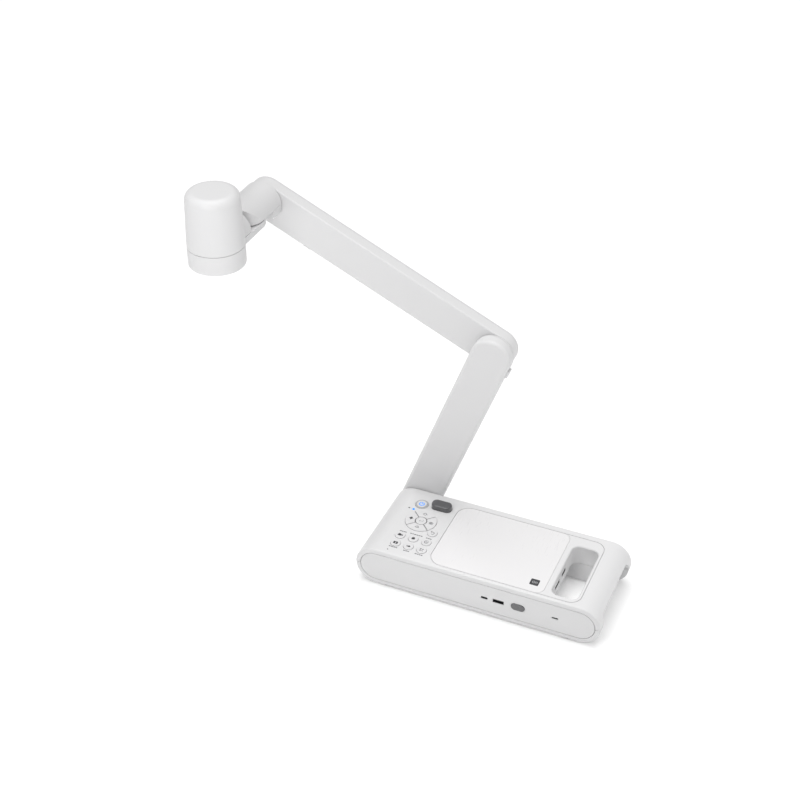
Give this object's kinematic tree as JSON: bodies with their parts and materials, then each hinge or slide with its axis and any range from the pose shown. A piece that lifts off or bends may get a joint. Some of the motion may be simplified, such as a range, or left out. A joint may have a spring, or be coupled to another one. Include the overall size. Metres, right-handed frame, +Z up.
{
  "type": "document camera",
  "caption": "Desktop document camera with a long flat keypad base and carrying handle, a folding side-mounted arm and an upright camera head on a tilting, swivelling wrist.",
  "frame": {"origin": "on the table, under the middle of the base: the centre of the middle foot's underside", "axes": "+X along the base towards the carrying handle, +Y towards the back where the arm is, +Z up"},
  "size_m": [0.5083, 0.1611, 0.4611],
  "materials": {
    "white_plastic": "fine matte texture",
    "white_gloss": "smooth, slightly glossy",
    "key_plastic": "matte with printed legends",
    "dark_plastic": "dark grey, smooth",
    "clear_light": "translucent light guide",
    "rubber_grey": "soft matte",
    "steel": "zinc plated",
    "bright_metal": "nickel plated sheet",
    "aluminium": "plain, cast or sawn",
    "washer_plastic": "natural friction plastic",
    "circuit_board": "solder resist",
    "lens_glass": "coated glass"
  },
  "bodies": {
    "base": {"base_top_shell": "white_plastic", "base_bottom_shell": "white_plastic", "base_screws": "steel", "rubber_feet": "rubber_grey", "grip_cover": "white_plastic", "front_side_panel": "white_plastic", "rear_side_panel": "white_plastic", "inlay_panel": "white_gloss", "handle_surround": "white_plastic", "keypad_lights": "clear_light", "keypad_board": "circuit_board", "socket_boards": "circuit_board", "front_sockets": "bright_metal", "side_sockets": "bright_metal", "receiver_window": "dark_plastic", "microphone": "dark_plastic", "ballast_plate": "steel", "pivot_bracket": "steel", "pivot_washers": "washer_plastic"},
    "lower_arm": {"pivot_nut": "steel", "pivot_shaft": "steel", "lower_arm_front": "white_plastic", "elbow_stop": "white_plastic", "lower_arm_lid": "white_plastic", "lower_arm_frame": "aluminium", "elbow_washers": "washer_plastic"},
    "upper_arm": {"elbow_nut": "steel", "elbow_shaft": "steel", "upper_arm_front": "white_plastic", "upper_arm_lid": "white_plastic", "upper_arm_frame": "aluminium", "arm_bumper": "rubber_grey", "wrist_washers": "washer_plastic"},
    "wrist": {"wrist_nut": "steel", "wrist_shaft": "steel", "wrist_top_cover": "white_plastic", "wrist_bottom_cover": "white_plastic", "wrist_block": "aluminium", "swivel_post": "steel"},
    "head": {"head_bottom_housing": "white_plastic", "head_top_housing": "white_plastic", "lens_barrel": "aluminium", "lens_glass": "lens_glass", "head_lamps": "clear_light", "lamp_board": "circuit_board", "image_board": "circuit_board"},
    "power_button": {"power_key": "key_plastic"},
    "zoom_button": {"zoom_key": "key_plastic"},
    "menu_button": {"menu_key": "key_plastic"},
    "freeze_button": {"freeze_key": "key_plastic"},
    "record_button": {"record_key": "key_plastic"},
    "lamp_button": {"lamp_key": "key_plastic"},
    "rotate_button": {"rotate_key": "key_plastic"},
    "source_button": {"source_key": "key_plastic"},
    "centre_button": {"centre_key": "key_plastic"},
    "right_button": {"right_key": "key_plastic"},
    "up_button": {"up_key": "key_plastic"},
    "left_button": {"left_key": "key_plastic"},
    "down_button": {"down_key": "key_plastic"},
    "bar_button": {"bar_key": "dark_plastic"}
  },
  "joints": [
    {"name": "base_fold", "type": "hinge", "parent": "base", "child": "lower_arm", "pos_m": [-0.1246, 0, 0.0269], "axis": [0, 1, 0], "range_deg": [-25, 69.9]},
    {"name": "elbow_fold", "type": "hinge", "parent": "lower_arm", "child": "upper_arm", "pos_m": [-0.038, 0, 0.26355], "axis": [0, -1, 0], "range_deg": [-60, 94.71]},
    {"name": "wrist_tilt", "type": "hinge", "parent": "upper_arm", "child": "wrist", "pos_m": [-0.3261, 0, 0.39674], "axis": [0, 1, 0], "range_deg": [-90, 24.81]},
    {"name": "head_swivel", "type": "hinge", "parent": "wrist", "child": "head", "pos_m": [-0.3261, 0.035, 0.39674], "axis": [0, 0, -1], "range_deg": [-90, 90]},
    {"name": "power_press", "type": "slide", "parent": "base", "child": "power_button", "axis": [0, 0, -1], "range_m": [0, 0.0008], "stiffness_N_per_m": 400, "springref_m": -0.002},
    {"name": "zoom_press", "type": "slide", "parent": "base", "child": "zoom_button", "axis": [0, 0, -1], "range_m": [0, 0.0008], "stiffness_N_per_m": 400, "springref_m": -0.002},
    {"name": "menu_press", "type": "slide", "parent": "base", "child": "menu_button", "axis": [0, 0, -1], "range_m": [0, 0.0008], "stiffness_N_per_m": 400, "springref_m": -0.002},
    {"name": "freeze_press", "type": "slide", "parent": "base", "child": "freeze_button", "axis": [0, 0, -1], "range_m": [0, 0.0008], "stiffness_N_per_m": 400, "springref_m": -0.002},
    {"name": "record_press", "type": "slide", "parent": "base", "child": "record_button", "axis": [0, 0, -1], "range_m": [0, 0.0008], "stiffness_N_per_m": 400, "springref_m": -0.002},
    {"name": "lamp_press", "type": "slide", "parent": "base", "child": "lamp_button", "axis": [0, 0, -1], "range_m": [0, 0.0008], "stiffness_N_per_m": 400, "springref_m": -0.002},
    {"name": "rotate_press", "type": "slide", "parent": "base", "child": "rotate_button", "axis": [0, 0, -1], "range_m": [0, 0.0008], "stiffness_N_per_m": 400, "springref_m": -0.002},
    {"name": "source_press", "type": "slide", "parent": "base", "child": "source_button", "axis": [0, 0, -1], "range_m": [0, 0.0008], "stiffness_N_per_m": 400, "springref_m": -0.002},
    {"name": "centre_press", "type": "slide", "parent": "base", "child": "centre_button", "axis": [0, 0, -1], "range_m": [0, 0.0008], "stiffness_N_per_m": 400, "springref_m": -0.002},
    {"name": "right_press", "type": "slide", "parent": "base", "child": "right_button", "axis": [0, 0, -1], "range_m": [0, 0.0008], "stiffness_N_per_m": 400, "springref_m": -0.002},
    {"name": "up_press", "type": "slide", "parent": "base", "child": "up_button", "axis": [0, 0, -1], "range_m": [0, 0.0008], "stiffness_N_per_m": 400, "springref_m": -0.002},
    {"name": "left_press", "type": "slide", "parent": "base", "child": "left_button", "axis": [0, 0, -1], "range_m": [0, 0.0008], "stiffness_N_per_m": 400, "springref_m": -0.002},
    {"name": "down_press", "type": "slide", "parent": "base", "child": "down_button", "axis": [0, 0, -1], "range_m": [0, 0.0008], "stiffness_N_per_m": 400, "springref_m": -0.002},
    {"name": "bar_press", "type": "slide", "parent": "base", "child": "bar_button", "axis": [0, 0, -1], "range_m": [0, 0.0015], "stiffness_N_per_m": 400, "springref_m": -0.002}
  ]
}
